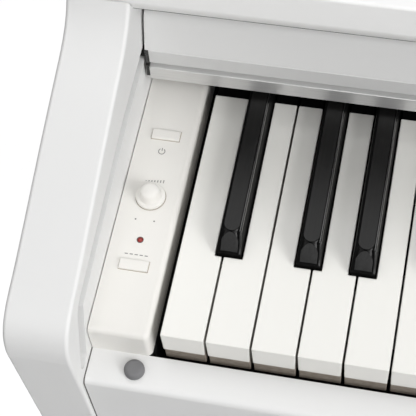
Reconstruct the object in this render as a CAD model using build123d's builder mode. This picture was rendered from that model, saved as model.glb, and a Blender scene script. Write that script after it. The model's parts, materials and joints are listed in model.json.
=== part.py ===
"""Digital console piano on its stand: cabinet, sliding key cover, keys, controls and pedals.

Millimetres. X runs along the keyboard, +Y to the back, +Z up. The origin is on the floor under the
middle of the piano. Heights and depths near the keyboard are counted from the front top edge of the
white keys, which is the datum that a piano is laid out from.
"""

import os
from math import asin, cos, degrees, hypot, radians, sin

from build123d import *

os.makedirs("parts", exist_ok=True)

# ---------------------------------------------------------------- driving dimensions
KEY_PITCH = 23.5  # one white key to the next
WHITE_COUNT = 52
WHITE_LENGTH = 148.8  # playing surface of a white key
KEY_TOP = 735.0  # white key tops above the floor
DEPTH = 400.0
ARM_OVERHANG = 28.0  # arms stand this far ahead of the white keys
WALL = 33.5  # thickness of a side panel
END_SPACE = 37.5  # outer key to side panel
TOP_BOARD_RISE = 106.0  # top of the top board above the white keys
BOARD = 18.0  # thickness of the cabinet boards

KEYS_WIDTH = KEY_PITCH * WHITE_COUNT
INNER_X = KEYS_WIDTH / 2 + END_SPACE
OUTER_X = INNER_X + WALL
KEY_FRONT = ARM_OVERHANG - DEPTH / 2
BACK = DEPTH - ARM_OVERHANG  # cabinet back, counted from the key fronts

# ---------------------------------------------------------------- keyboard dimensions
KEY_GAP = 0.9
KEY_DEPTH = 23.0  # white key, top to underside
CAP_HEIGHT = 17.0  # light front face of a white key
CAP_LIP = 1.5
KEY_SKIRT = (1.5, 10.0)  # deeper front of a white key's body, behind the cap's lip
KEY_SKIRT_DEPTH = 29.5
KEY_WALL = 2.5
BLACK_FRONT = 50.3  # front of the black keys behind the white fronts
BLACK_BASE = 13.1
BLACK_TOP = 11.2
BLACK_HEIGHT = 12.0
BLACK_SLOPE = 8.6  # depth of the sloping front
BLACK_END = 156.0
BLACK_CLEARANCE = 0.8
BLACK_SHIFT = {"A": 3.1, "C": -2.3, "D": 2.5, "F": -3.1, "G": 0.0}
TAIL_TOP = -3.0
TAIL_STEP = 190.0
TAIL_END = 213.0
TAIL_BOTTOM = -13.4
PIVOT = (205.0, -14.0)  # key pivot: behind the key fronts, above the key tops
PIVOT_ROD_R = 3.0
PIVOT_GAP = 0.05

# ---------------------------------------------------------------- cabinet dimensions
BED_TOP = -79.0
BED_BOTTOM = BED_TOP - BOARD
SLIP_TOP = -22.0
SLIP_REAR = -2.6
SLIP_FRONT = -22.8
SLIP_BOTTOM = BED_BOTTOM - 2
RAIL_FRONT = 141.0
RAIL_REAR = 165.0
RAIL_TOP = TOP_BOARD_RISE - BOARD
RAIL_BOTTOM = 76.5
RAIL_ROUND = 10.0
BACK_PANEL = 12.0
KICK_PANEL_Y = (350.0, 362.0)
KICK_PANEL_LOW = 300.0  # above the floor
POST_FRONT = 205.0  # front of the side panel's part that reaches the foot
GLIDE = 4.0
GLIDE_R = 14.0
GLIDES_Y = (-168.0, 170.0)
FOOT_TOP = 48.0
FOOT_WIDTH = 42.0
LEG_Y = 2.0
LEG_TOP = (31.0, 40.0)  # width and depth under the arm
LEG_FOOT = (27.0, 30.0)
PLAY = 0.4  # end play of boards between the side panels
SCREWS_X = (-520.0, -260.0, 0.0, 260.0, 520.0)  # screws through the back panel into the keybed
SCREW_RISE = 9.0  # above the underside of the keybed
SCREW_LENGTH = 14.0
INLET_X = -420.0
INLET_Z = -40.0

# ---------------------------------------------------------------- key cover dimensions
COVER_PIN_Y = 150.0
COVER_PIN_Z = 32.5
COVER_RADIUS = 1227.0  # its guides are flat arcs about a far axis
COVER_TRAVEL = 148.0
COVER_PIN_R = 3.2
GROOVE_WIDTH = 10.0
GROOVE_DEPTH = 8.0
GROOVE_SPARE = 6.0  # length of groove beyond a pin at each end of its travel
FRONT_GROOVE = ((176.0, 32.5), (104.0, 32.5), (-1.5, 23.0), (-14.5, -12.5))
COVER_REAR = 325.0
COVER_TOP = 60.5
COVER_BOTTOM = 53.0
REAR_PIN = (316.0, 56.5)
COVER_SIDE_GAP = 1.5
LIP_SIDE_GAP = 4.0

# ---------------------------------------------------------------- control panel dimensions
PANEL_X = (-37.0, -5.0)
PANEL_TOP = -0.5
PANEL_FRONT = -3.0
PANEL_REAR = 186.0
PANEL_WALL = 2.5
PANEL_ROUND = 3.0
CONTROL_X = -21.4
POWER_Y = 118.5
KNOB_Y = 78.8
LED_Y = 52.4
FUNCTION_Y = 37.1
BUTTON = (15.6, 6.2)
BUTTON_RISE = 1.3
BUTTON_GAP = 0.3
KNOB_SKIRT_R = 8.0
KNOB_CAP_R = 5.8
KNOB_HEIGHT = 8.0
LED_R = 1.65
PCB = 1.6
PANEL_PCB_TOP = -15.0

# ---------------------------------------------------------------- pedals, speakers, music rest
PEDAL_BAR_Y = (215.0, 275.0)
PEDAL_BAR_Z = (55.0, 135.0)
PEDAL_WALL = 7.0
PEDAL_CAVITY_X = 110.0
PEDAL_PIVOT = (258.0, 84.0)  # behind the key fronts, above the floor
PEDAL_PITCH = 62.0
PEDAL_TIP = 112.0
PEDAL_WIDTH = 25.0
PEDAL_NECK = 13.0
PEDAL_THICK = 8.0
PEDAL_PAD = 64.0  # length of the wide end under the foot
PEDAL_ROD_R = 3.0
ADJUSTER_Y = 230.0
ADJUSTER_DISC = (15.0, 9.0)  # radius and height
ADJUSTER_STUD_R = 4.0
SPEAKER_X = 430.0
SPEAKER_Y = 287.0
SPEAKER_R = 58.0
GRILLE_PITCH = 8.0
GRILLE_SLOT = 4.4
REST_Y = 200.0
REST_LEAN = 18.0
REST_WIDTH = 700.0
REST_HEIGHT = 150.0
REST_THICK = 8.0
REST_PIN_RISE = 9.0
REST_HINGE_X = 230.0
REST_KNUCKLE = 34.0
REST_PIN = 60.0
REST_PIN_R = 2.5


def y_at(behind):
    """Row Y of a depth counted from the white keys' front edge."""
    return KEY_FRONT + behind


def z_at(above):
    """Row Z of a height counted from the white key tops."""
    return KEY_TOP + above


def x_at(along):
    """Row X of a place counted from the lowest key's left edge."""
    return along - KEYS_WIDTH / 2


def at(behind, above):
    """Side-view point counted from the front top edge of the white keys."""
    return (y_at(behind), z_at(above))


def slab(x, y, z, mode=Mode.ADD):
    """Block between pairs of limits, given to the part under construction."""
    centre = ((x[0] + x[1]) / 2, (y[0] + y[1]) / 2, (z[0] + z[1]) / 2)
    with Locations(centre):
        Box(x[1] - x[0], y[1] - y[0], z[1] - z[0], mode=mode)


def key_slab(x, behind, above, mode=Mode.ADD):
    """Block with its depths and heights counted from the key datum; x is in the row frame."""
    slab(x, [y_at(v) for v in behind], [z_at(v) for v in above], mode)


def upright(x, y, z, radius, mode=Mode.ADD):
    """Vertical cylinder between two heights."""
    with Locations((x, y, (z[0] + z[1]) / 2)):
        Cylinder(radius, z[1] - z[0], mode=mode)


def crosswise(x, y, z, radius, mode=Mode.ADD):
    """Cylinder along X between two ends."""
    with Locations(((x[0] + x[1]) / 2, y, z)):
        Cylinder(radius, x[1] - x[0], rotation=(0, 90, 0), mode=mode)


def lengthwise(x, y, z, radius, mode=Mode.ADD):
    """Cylinder along Y between two ends."""
    with Locations((x, (y[0] + y[1]) / 2, z)):
        Cylinder(radius, y[1] - y[0], rotation=(90, 0, 0), mode=mode)


def save(builder, name):
    """Label a finished sub-part and write its file."""
    builder.part.label = name
    export_step(builder.part, f"parts/{name}.step")


# ---------------------------------------------------------------- side panels
def cover_arc(travel):
    """Arc of the rear pins of the key cover, drawn from a little behind rest towards the keys."""
    centre = at(COVER_PIN_Y, COVER_PIN_Z - COVER_RADIUS)
    rise = REAR_PIN[1] - COVER_PIN_Z + COVER_RADIUS
    run = REAR_PIN[0] - COVER_PIN_Y
    start = 90 - degrees(asin(run / hypot(run, rise)) + GROOVE_SPARE / COVER_RADIUS)
    return CenterArc(centre, hypot(run, rise), start, degrees(travel / COVER_RADIUS))


def side_panel(side):
    """Side panel whose upper part is the arm beside the keys, with the cover's two grooves."""
    wall_face = Plane.YZ.offset(side * INNER_X)
    with BuildPart() as panel:
        with BuildSketch(wall_face):
            with BuildLine():
                front = Line(at(-22, -100), at(-28, 10))
                corner = Bezier(at(-28, 10), at(-28, 30), at(-19, 35.5), at(-2, 38.5))
                rise = Spline(corner @ 1, at(64, 55.5), at(112, 67.3), tangents=[(5, 1), (5, 1.2)])
                sweep_up = Spline(rise @ 1, at(132, 75.5), at(140.6, 85.3), tangents=[(5, 1.2), (1, 1.6)])
                under_rail = ThreePointArc(
                    sweep_up @ 1,
                    at(RAIL_FRONT + 2.7, RAIL_BOTTOM + 2.7),
                    at(RAIL_FRONT + RAIL_ROUND, RAIL_BOTTOM),
                )
                Polyline(
                    under_rail @ 1,
                    at(RAIL_REAR, RAIL_BOTTOM),
                    at(RAIL_REAR, RAIL_TOP),
                    at(BACK, RAIL_TOP),
                    (y_at(BACK), FOOT_TOP),
                    (y_at(POST_FRONT), FOOT_TOP),
                    at(POST_FRONT, -160),
                )
                knee = TangentArc(
                    at(POST_FRONT, -160), at(POST_FRONT - 60, -100), tangent=(0, 1)
                )
                Line(knee @ 1, front @ 0)
            make_face()
        extrude(amount=side * WALL)
        arm_edges = panel.faces().filter_by(Axis.X).edges()
        arm_edges = arm_edges.filter_by(lambda e: e.center().Y < y_at(RAIL_FRONT))
        fillet(arm_edges.filter_by(lambda e: e.center().Z > z_at(-99)), radius=1.8)
        with BuildSketch(wall_face):
            with BuildLine():
                FilletPolyline(*[at(*point) for point in FRONT_GROOVE], radius=[120, 8])
            trace(line_width=GROOVE_WIDTH)
            with Locations(at(*FRONT_GROOVE[-1])):
                Circle(GROOVE_WIDTH / 2)
        extrude(amount=side * GROOVE_DEPTH, mode=Mode.SUBTRACT)
        with BuildSketch(wall_face):
            with BuildLine():
                cover_arc(COVER_TRAVEL + 2 * GROOVE_SPARE)
            trace(line_width=GROOVE_WIDTH)
        extrude(amount=side * GROOVE_DEPTH, mode=Mode.SUBTRACT)
    return panel


def front_leg(side):
    """Tapered square leg from the foot to the underside of the arm."""
    middle = side * (INNER_X + WALL / 2)
    with BuildPart() as leg:
        for height, width, depth in ((FOOT_TOP, *LEG_FOOT), (z_at(-100), *LEG_TOP)):
            with BuildSketch(Plane.XY.offset(height)):
                with Locations((middle, y_at(LEG_Y))):
                    RectangleRounded(width, depth, 3)
        loft()
    return leg


def foot(side):
    """Toe block that carries the leg and the side panel."""
    middle = side * (OUTER_X - FOOT_WIDTH / 2)
    with BuildPart() as block:
        slab(
            (middle - FOOT_WIDTH / 2, middle + FOOT_WIDTH / 2),
            (-DEPTH / 2, DEPTH / 2),
            (GLIDE, FOOT_TOP),
        )
        toe = block.edges().filter_by(Axis.X).group_by(Axis.Y)[0].sort_by(Axis.Z)[-1]
        fillet(toe, radius=26)
        fillet(block.faces().sort_by(Axis.Z)[-1].edges(), radius=2)
    return block


for side, side_name in ((-1, "left"), (1, "right")):
    save(side_panel(side), f"{side_name}_side_panel")
    save(front_leg(side), f"{side_name}_front_leg")
    save(foot(side), f"{side_name}_foot")

with BuildPart() as floor_glides:
    for x in (-OUTER_X + FOOT_WIDTH / 2, OUTER_X - FOOT_WIDTH / 2):
        for y in GLIDES_Y:
            upright(x, y, (0, GLIDE), GLIDE_R)
save(floor_glides, "floor_glides")

# ---------------------------------------------------------------- cabinet between the side panels
SPAN = (-INNER_X + PLAY, INNER_X - PLAY)
BED_REAR = BACK - BACK_PANEL - 2

with BuildPart() as keybed:
    key_slab(SPAN, (SLIP_REAR, BED_REAR), (BED_BOTTOM, BED_TOP))
    for x in (-SPEAKER_X, SPEAKER_X):
        upright(x, y_at(SPEAKER_Y), (z_at(BED_BOTTOM), z_at(BED_TOP)), SPEAKER_R - 8, Mode.SUBTRACT)
    for x in SCREWS_X:
        pilot = (y_at(BED_REAR - SCREW_LENGTH - 2), y_at(BED_REAR))
        lengthwise(x, pilot, z_at(BED_BOTTOM + SCREW_RISE), 2.0, Mode.SUBTRACT)
save(keybed, "keybed")

with BuildPart() as keyslip:
    with BuildSketch(Plane.YZ.offset(SPAN[0])):
        with BuildLine():
            FilletPolyline(
                at(SLIP_REAR, SLIP_TOP),
                at(SLIP_FRONT, SLIP_TOP),
                at(SLIP_FRONT + 1.8, SLIP_BOTTOM),
                at(SLIP_REAR, SLIP_BOTTOM),
                radius=[3.5, 1.5],
            )
            Line(at(SLIP_REAR, SLIP_BOTTOM), at(SLIP_REAR, SLIP_TOP))
        make_face()
    extrude(amount=SPAN[1] - SPAN[0])
    fillet(keyslip.edges().filter_by(Axis.X).group_by(Axis.Y)[-1].sort_by(Axis.Z)[-1], radius=0.5)
save(keyslip, "keyslip")

BUMPER_X = INNER_X - 25.2
with BuildPart() as lid_bumpers:
    for x in (-BUMPER_X, BUMPER_X):
        upright(x, y_at(-12.2), (z_at(SLIP_TOP), z_at(SLIP_TOP + 4)), 5.4)
    fillet(lid_bumpers.faces().filter_by(Axis.Z).group_by(Axis.Z)[-1].edges(), radius=2.4)
save(lid_bumpers, "lid_bumpers")

with BuildPart() as top_board:
    key_slab((-OUTER_X, OUTER_X), (RAIL_FRONT, BACK), (RAIL_TOP, TOP_BOARD_RISE))
    fillet(top_board.faces().sort_by(Axis.Z)[-1].edges(), radius=1.6)
save(top_board, "top_board")

with BuildPart() as top_rail:
    with BuildSketch(Plane.YZ.offset(-OUTER_X)):
        with BuildLine():
            Line(at(RAIL_FRONT, RAIL_TOP), at(RAIL_FRONT, RAIL_BOTTOM + RAIL_ROUND))
            round_top = at(RAIL_FRONT, RAIL_BOTTOM + RAIL_ROUND)
            RadiusArc(round_top, at(RAIL_FRONT + RAIL_ROUND, RAIL_BOTTOM), -RAIL_ROUND)
            Polyline(
                at(RAIL_FRONT + RAIL_ROUND, RAIL_BOTTOM),
                at(RAIL_REAR, RAIL_BOTTOM),
                at(RAIL_REAR, RAIL_TOP),
                at(RAIL_FRONT, RAIL_TOP),
            )
        make_face()
    extrude(amount=2 * OUTER_X)
save(top_rail, "top_rail")

with BuildPart() as back_panel:
    key_slab(SPAN, (BACK - BACK_PANEL - 2, BACK - 2), (BED_BOTTOM, RAIL_TOP))
    through = (y_at(BED_REAR), y_at(BACK - 2))
    for x in SCREWS_X:
        lengthwise(x, through, z_at(BED_BOTTOM + SCREW_RISE), 2.4, Mode.SUBTRACT)
    lengthwise(INLET_X, through, z_at(INLET_Z), 6.5, Mode.SUBTRACT)
save(back_panel, "back_panel")

with BuildPart() as kick_panel:
    slab(SPAN, [y_at(v) for v in KICK_PANEL_Y], (KICK_PANEL_LOW, z_at(BED_BOTTOM)))
    fillet(kick_panel.faces().sort_by(Axis.Z)[0].edges(), radius=1.2)
save(kick_panel, "kick_panel")

with BuildPart() as cabinet_screws:
    for x in SCREWS_X:
        height = z_at(BED_BOTTOM + SCREW_RISE)
        lengthwise(x, (y_at(BED_REAR - SCREW_LENGTH), y_at(BACK - 2)), height, 1.95)
        lengthwise(x, (y_at(BACK - 2), y_at(BACK - 0.2)), height, 4.5)
save(cabinet_screws, "cabinet_screws")

# ---------------------------------------------------------------- sliding key cover
COVER_X = (-INNER_X + COVER_SIDE_GAP, INNER_X - COVER_SIDE_GAP)
LIP_X = (-INNER_X + LIP_SIDE_GAP, INNER_X - LIP_SIDE_GAP)

with BuildPart() as key_cover_board:
    with BuildSketch(Plane.YZ.offset(COVER_X[0])):
        with BuildLine():
            FilletPolyline(
                at(146.8, 37.5),
                at(155.0, COVER_TOP),
                at(COVER_REAR, COVER_TOP - 1),
                at(COVER_REAR, COVER_BOTTOM),
                at(162.5, COVER_BOTTOM),
                at(156.5, 37.5),
                radius=[7, 1.5, 1.5, 5],
            )
            Line(at(156.5, 37.5), at(146.8, 37.5))
        make_face()
    extrude(amount=COVER_X[1] - COVER_X[0])
save(key_cover_board, "key_cover_board")

with BuildPart() as key_cover_lip:
    with BuildSketch(Plane.YZ.offset(LIP_X[0])):
        with BuildLine():
            FilletPolyline(
                at(146.4, 37.5),
                at(146.0, 25.8),
                at(144.2, 25.4),
                at(143.6, 16.0),
                at(153.5, 16.0),
                at(156.5, 37.5),
                radius=[0.3, 0.8, 1.0, 1.0],
            )
            Line(at(156.5, 37.5), at(146.4, 37.5))
        make_face()
    extrude(amount=LIP_X[1] - LIP_X[0])
    for end in (-1, 1):
        tip = end * (INNER_X - LIP_SIDE_GAP)
        inside = tip - end * 12
        pin_x = sorted((inside, tip))
        crosswise(pin_x, y_at(COVER_PIN_Y), z_at(COVER_PIN_Z), COVER_PIN_R, Mode.SUBTRACT)
save(key_cover_lip, "key_cover_lip")

with BuildPart() as key_cover_pins:
    for end in (-1, 1):
        tip = end * (INNER_X + GROOVE_DEPTH - 2)
        inside = end * (INNER_X - LIP_SIDE_GAP - 12)
        crosswise(sorted((inside, tip)), y_at(COVER_PIN_Y), z_at(COVER_PIN_Z), COVER_PIN_R)
        board_end = end * (INNER_X - COVER_SIDE_GAP)
        crosswise(sorted((board_end, tip)), y_at(REAR_PIN[0]), z_at(REAR_PIN[1]), COVER_PIN_R)
save(key_cover_pins, "key_cover_pins")


# ---------------------------------------------------------------- keys
def letter(index):
    """Name of a white key counted from the lowest, which is an A."""
    return "ABCDEFG"[index % 7]


def black_after(index):
    """Middle of the black key after a white key, from the lowest key's left edge, or None."""
    shift = BLACK_SHIFT.get(letter(index))
    if shift is None or not 0 <= index < WHITE_COUNT - 1:
        return None
    return (index + 1) * KEY_PITCH + shift


def pivot_groove(x):
    """Half-round groove under a key's tail, in which it rocks on the fulcrum rod."""
    crosswise(x, y_at(PIVOT[0]), z_at(PIVOT[1]), PIVOT_ROD_R + PIVOT_GAP, Mode.SUBTRACT)


def white_key(index):
    """White key: cap with a front lip, hollow body cut back for the black keys, and tail."""
    left, right = (x_at(index * KEY_PITCH + KEY_GAP / 2), x_at((index + 1) * KEY_PITCH - KEY_GAP / 2))
    side_room = BLACK_BASE / 2 + BLACK_CLEARANCE
    before, after = black_after(index - 1), black_after(index)
    rear_left = left if before is None else x_at(before + side_room)
    rear_right = right if after is None else x_at(after - side_room)
    notch = BLACK_FRONT - BLACK_CLEARANCE
    with BuildPart() as key:
        key_slab((left, right), (0, notch), (-KEY_DEPTH, 0))
        key_slab((rear_left, rear_right), (notch, WHITE_LENGTH), (-KEY_DEPTH, 0))
        key_slab((rear_left, rear_right), (WHITE_LENGTH, TAIL_STEP), (-KEY_DEPTH, TAIL_TOP))
        key_slab((rear_left, rear_right), (TAIL_STEP, TAIL_END), (TAIL_BOTTOM, TAIL_TOP))
        key_slab((left, right), (0, CAP_LIP), (-KEY_DEPTH, -CAP_HEIGHT), Mode.SUBTRACT)
        key_slab((left, right), KEY_SKIRT, (-KEY_SKIRT_DEPTH, -KEY_DEPTH))
        hollow = (-KEY_DEPTH, -KEY_WALL)
        front_hollow = (left + KEY_WALL, right - KEY_WALL)
        key_slab(front_hollow, (KEY_SKIRT[1], notch - KEY_WALL), hollow, Mode.SUBTRACT)
        rear_hollow = (rear_left + KEY_WALL, rear_right - KEY_WALL)
        key_slab(rear_hollow, (notch - KEY_WALL, WHITE_LENGTH - KEY_WALL), hollow, Mode.SUBTRACT)
        pivot_groove((left, right))
    return key


def black_key(middle):
    """Black key: tapered top with a sloping front, body between the white keys, and tail."""
    left, right = (x_at(middle - BLACK_BASE / 2), x_at(middle + BLACK_BASE / 2))
    with BuildPart() as key:
        for height, width, front in ((0, BLACK_BASE, 0), (BLACK_HEIGHT, BLACK_TOP, BLACK_SLOPE)):
            with BuildSketch(Plane.XY.offset(z_at(height))):
                length = BLACK_END - BLACK_FRONT - front
                with Locations((x_at(middle), y_at(BLACK_END - length / 2))):
                    Rectangle(width, length)
        loft()
        key_slab((left, right), (BLACK_FRONT, BLACK_END), (-KEY_DEPTH, 0))
        key_slab((left, right), (BLACK_END, TAIL_STEP), (-KEY_DEPTH, TAIL_TOP))
        key_slab((left, right), (TAIL_STEP, TAIL_END), (TAIL_BOTTOM, TAIL_TOP))
        hollow_x = (left + KEY_WALL, right - KEY_WALL)
        hollow_y = (BLACK_FRONT + KEY_WALL, BLACK_END - KEY_WALL)
        key_slab(hollow_x, hollow_y, (-KEY_DEPTH, -KEY_WALL), Mode.SUBTRACT)
        pivot_groove((left, right))
    return key


SINGLE_WHITES = {0: "a0", 1: "b0", 2: "c1", 3: "d1", 4: "e1", 5: "f1"}
SINGLE_BLACKS = {0: "a_sharp_0", 2: "c_sharp_1", 3: "d_sharp_1"}

for index, key_name in SINGLE_WHITES.items():
    save(white_key(index), f"white_key_{key_name}")
for index, key_name in SINGLE_BLACKS.items():
    save(black_key(black_after(index)), f"black_key_{key_name}")

with BuildPart() as other_white_keys:
    add([white_key(i).part for i in range(WHITE_COUNT) if i not in SINGLE_WHITES])
save(other_white_keys, "other_white_keys")

with BuildPart() as other_black_keys:
    add(
        [
            black_key(black_after(i)).part
            for i in range(WHITE_COUNT)
            if i not in SINGLE_BLACKS and black_after(i) is not None
        ]
    )
save(other_black_keys, "other_black_keys")

# ---------------------------------------------------------------- key mechanism
KEYS_X = (x_at(-2), x_at(KEYS_WIDTH + 2))
CHASSIS_FLOOR = BED_TOP + 3
CHASSIS_SLOTS_Y = ((36, 94), (122, 192))
CHASSIS_SLOT = 100.0
CHASSIS_SLOT_PITCH = 120.0

with BuildPart() as key_chassis:
    key_slab(KEYS_X, (6, 228), (BED_TOP, CHASSIS_FLOOR))
    key_slab(KEYS_X, (12, 30), (CHASSIS_FLOOR, -40))
    key_slab(KEYS_X, (100, 116), (CHASSIS_FLOOR, -38))
    key_slab(KEYS_X, (198, 212), (CHASSIS_FLOOR, PIVOT[1]))
    crosswise(KEYS_X, y_at(PIVOT[0]), z_at(PIVOT[1]), PIVOT_ROD_R, Mode.SUBTRACT)
    for slot_y in CHASSIS_SLOTS_Y:
        for step in range(-4, 6):
            x = (step - 0.5) * CHASSIS_SLOT_PITCH
            slot_x = (x - CHASSIS_SLOT / 2, x + CHASSIS_SLOT / 2)
            key_slab(slot_x, slot_y, (BED_TOP, CHASSIS_FLOOR), Mode.SUBTRACT)
save(key_chassis, "key_chassis")

with BuildPart() as key_fulcrum_rod:
    crosswise(KEYS_X, y_at(PIVOT[0]), z_at(PIVOT[1]), PIVOT_ROD_R)
save(key_fulcrum_rod, "key_fulcrum_rod")

with BuildPart() as key_contact_strip:
    key_slab(KEYS_X, (99, 117), (-38, -38 + PCB))
    for index in range(WHITE_COUNT):
        contact_x = x_at((index + 0.5) * KEY_PITCH)
        upright(contact_x, y_at(108), (z_at(-38 + PCB), z_at(-31.5)), 3.0)
save(key_contact_strip, "key_contact_strip")

FELT_X = (x_at(PANEL_X[1]), x_at(KEYS_WIDTH - PANEL_X[1]))
with BuildPart() as key_hold_down_bar:
    key_slab(FELT_X, (164, 167), (-1.5, 12))
    key_slab(FELT_X, (167, 184), (9, 12))
save(key_hold_down_bar, "key_hold_down_bar")

with BuildPart() as key_back_felt:
    key_slab(FELT_X, (157.5, 164), (-2.0, 13))
save(key_back_felt, "key_back_felt")


# ---------------------------------------------------------------- end panels and controls
def end_panel(x):
    """Moulded cover between the outer key and the side panel, open underneath."""
    towards_keys = 0 if x[0] > 0 else -1
    with BuildPart() as cover:
        key_slab(x, (PANEL_FRONT, PANEL_REAR), (SLIP_TOP, PANEL_TOP))
        front_top = cover.edges().filter_by(Axis.X).group_by(Axis.Y)[0].sort_by(Axis.Z)[-1]
        top_edges = cover.edges().filter_by(Axis.Y).group_by(Axis.Z)[-1]
        front_edges = cover.edges().filter_by(Axis.Z).group_by(Axis.Y)[0]
        key_side = top_edges.sort_by(Axis.X)[towards_keys]
        key_corner = front_edges.sort_by(Axis.X)[towards_keys]
        fillet([front_top, key_side, key_corner], radius=PANEL_ROUND)
        inner_x = (x[0] + PANEL_WALL, x[1] - PANEL_WALL)
        inner_y = (PANEL_FRONT + PANEL_WALL, PANEL_REAR - PANEL_WALL)
        key_slab(inner_x, inner_y, (SLIP_TOP, PANEL_TOP - PANEL_WALL), Mode.SUBTRACT)
    return cover


def rounded_block(x, behind, above, size, radius, mode=Mode.ADD):
    """Upright block with rounded corners in plan, centred on x and a depth behind the key fronts."""
    with BuildSketch(Plane.XY.offset(z_at(above[0]))) as plan:
        with Locations((x, y_at(behind))):
            RectangleRounded(*size, radius)
    extrude(plan.sketch, amount=above[1] - above[0], mode=mode)


LEFT_PANEL_X = (x_at(PANEL_X[0]), x_at(PANEL_X[1]))
RIGHT_PANEL_X = (-LEFT_PANEL_X[1], -LEFT_PANEL_X[0])
CONTROLS_X = x_at(CONTROL_X)
BOSS_Y = (16, 144)
BOSS_X = (LEFT_PANEL_X[0] + 6, LEFT_PANEL_X[1] - 6)

with BuildPart() as control_panel:
    add(end_panel(LEFT_PANEL_X).part)
    for behind in (POWER_Y, FUNCTION_Y):
        hole = (BUTTON[0] + 2 * BUTTON_GAP, BUTTON[1] + 2 * BUTTON_GAP)
        rounded_block(CONTROLS_X, behind, (-8, 2), hole, 1.3, Mode.SUBTRACT)
    upright(CONTROLS_X, y_at(KNOB_Y), (z_at(-8), z_at(2)), 3.6, Mode.SUBTRACT)
    upright(CONTROLS_X, y_at(LED_Y), (z_at(-8), z_at(2)), LED_R + 0.1, Mode.SUBTRACT)
    for x in BOSS_X:
        for behind in BOSS_Y:
            upright(x, y_at(behind), (z_at(PANEL_PCB_TOP), z_at(PANEL_TOP - PANEL_WALL)), 2.2)
save(control_panel, "control_panel")

with BuildPart() as right_end_panel:
    add(end_panel(RIGHT_PANEL_X).part)
save(right_end_panel, "right_end_panel")

for panel_x, side_name in ((LEFT_PANEL_X, "left"), (RIGHT_PANEL_X, "right")):
    with BuildPart() as cheek_block:
        key_slab(panel_x, (2, PANEL_REAR - 2), (BED_TOP, SLIP_TOP))
    save(cheek_block, f"{side_name}_cheek_block")

for behind, button_name in ((POWER_Y, "power_button"), (FUNCTION_Y, "function_button")):
    with BuildPart() as button:
        rounded_block(CONTROLS_X, behind, (-8.5, PANEL_TOP + BUTTON_RISE), BUTTON, 1.0)
        fillet(button.faces().sort_by(Axis.Z)[-1].edges(), radius=0.5)
        rounded_block(CONTROLS_X, behind, (-5.5, -4.0), (19, 9), 1.0)
    save(button, button_name)

with BuildPart() as volume_knob:
    knob_y = y_at(KNOB_Y)
    upright(CONTROLS_X, knob_y, (z_at(-11), z_at(1)), 3.0)
    upright(CONTROLS_X, knob_y, (z_at(0.2), z_at(2.2)), KNOB_SKIRT_R)
    upright(CONTROLS_X, knob_y, (z_at(2.2), z_at(KNOB_HEIGHT)), KNOB_CAP_R)
    fillet(volume_knob.faces().sort_by(Axis.Z)[-1].edges(), radius=1.2)
    pointer = (KNOB_Y + 2, KNOB_Y + KNOB_CAP_R + 1)
    pointer_z = (KNOB_HEIGHT - 0.6, KNOB_HEIGHT + 1)
    key_slab((CONTROLS_X - 0.5, CONTROLS_X + 0.5), pointer, pointer_z, Mode.SUBTRACT)
save(volume_knob, "volume_knob")

with BuildPart() as power_led:
    upright(CONTROLS_X, y_at(LED_Y), (z_at(PANEL_PCB_TOP), z_at(PANEL_TOP + 0.3)), LED_R)
    fillet(power_led.faces().sort_by(Axis.Z)[-1].edges(), radius=0.7)
save(power_led, "power_led")

with BuildPart() as panel_circuit_board:
    inset = PANEL_WALL + 0.5
    board_x = (LEFT_PANEL_X[0] + inset, LEFT_PANEL_X[1] - inset)
    key_slab(board_x, (8, 152), (PANEL_PCB_TOP - PCB, PANEL_PCB_TOP))
    for behind in (POWER_Y, FUNCTION_Y):
        key_slab((CONTROLS_X - 3, CONTROLS_X + 3), (behind - 3, behind + 3), (PANEL_PCB_TOP, -11))
        upright(CONTROLS_X, y_at(behind), (z_at(-11), z_at(-9.7)), 1.6)
    key_slab((CONTROLS_X - 5, CONTROLS_X + 5), (KNOB_Y - 5, KNOB_Y + 5), (PANEL_PCB_TOP, -11.5))
save(panel_circuit_board, "panel_circuit_board")

# ---------------------------------------------------------------- electronics and speakers
STANDOFF = 5.0


def circuit_board(x, behind, chips):
    """Board on four standoffs, with its larger components as (x, depth, width, length, height)."""
    low, high = BED_TOP + STANDOFF, BED_TOP + STANDOFF + PCB
    with BuildPart() as board:
        key_slab(x, behind, (low, high))
        for corner_x in (x[0] + 6, x[1] - 6):
            for corner_y in (behind[0] + 6, behind[1] - 6):
                upright(corner_x, y_at(corner_y), (z_at(BED_TOP), z_at(low)), 3)
        for chip_x, chip_y, width, length, height in chips:
            across = (chip_x - width / 2, chip_x + width / 2)
            along = (chip_y - length / 2, chip_y + length / 2)
            key_slab(across, along, (high, high + height))
    return board


with BuildPart() as main_circuit_board:
    main_chips = [(-60, 285, 28, 28, 2), (0, 285, 20, 14, 2), (50, 262, 12, 20, 2), (80, 310, 26, 12, 9)]
    add(circuit_board((-115, 115), (238, 332), main_chips).part)
save(main_circuit_board, "main_circuit_board")

with BuildPart() as amplifier_board:
    heat_sink = (250, 268, 60, 18, 26)
    capacitors = [(225, 305, 14, 14, 20), (265, 305, 14, 14, 20)]
    add(circuit_board((190, 310), (248, 328), [heat_sink, *capacitors]).part)
save(amplifier_board, "amplifier_board")

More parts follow.
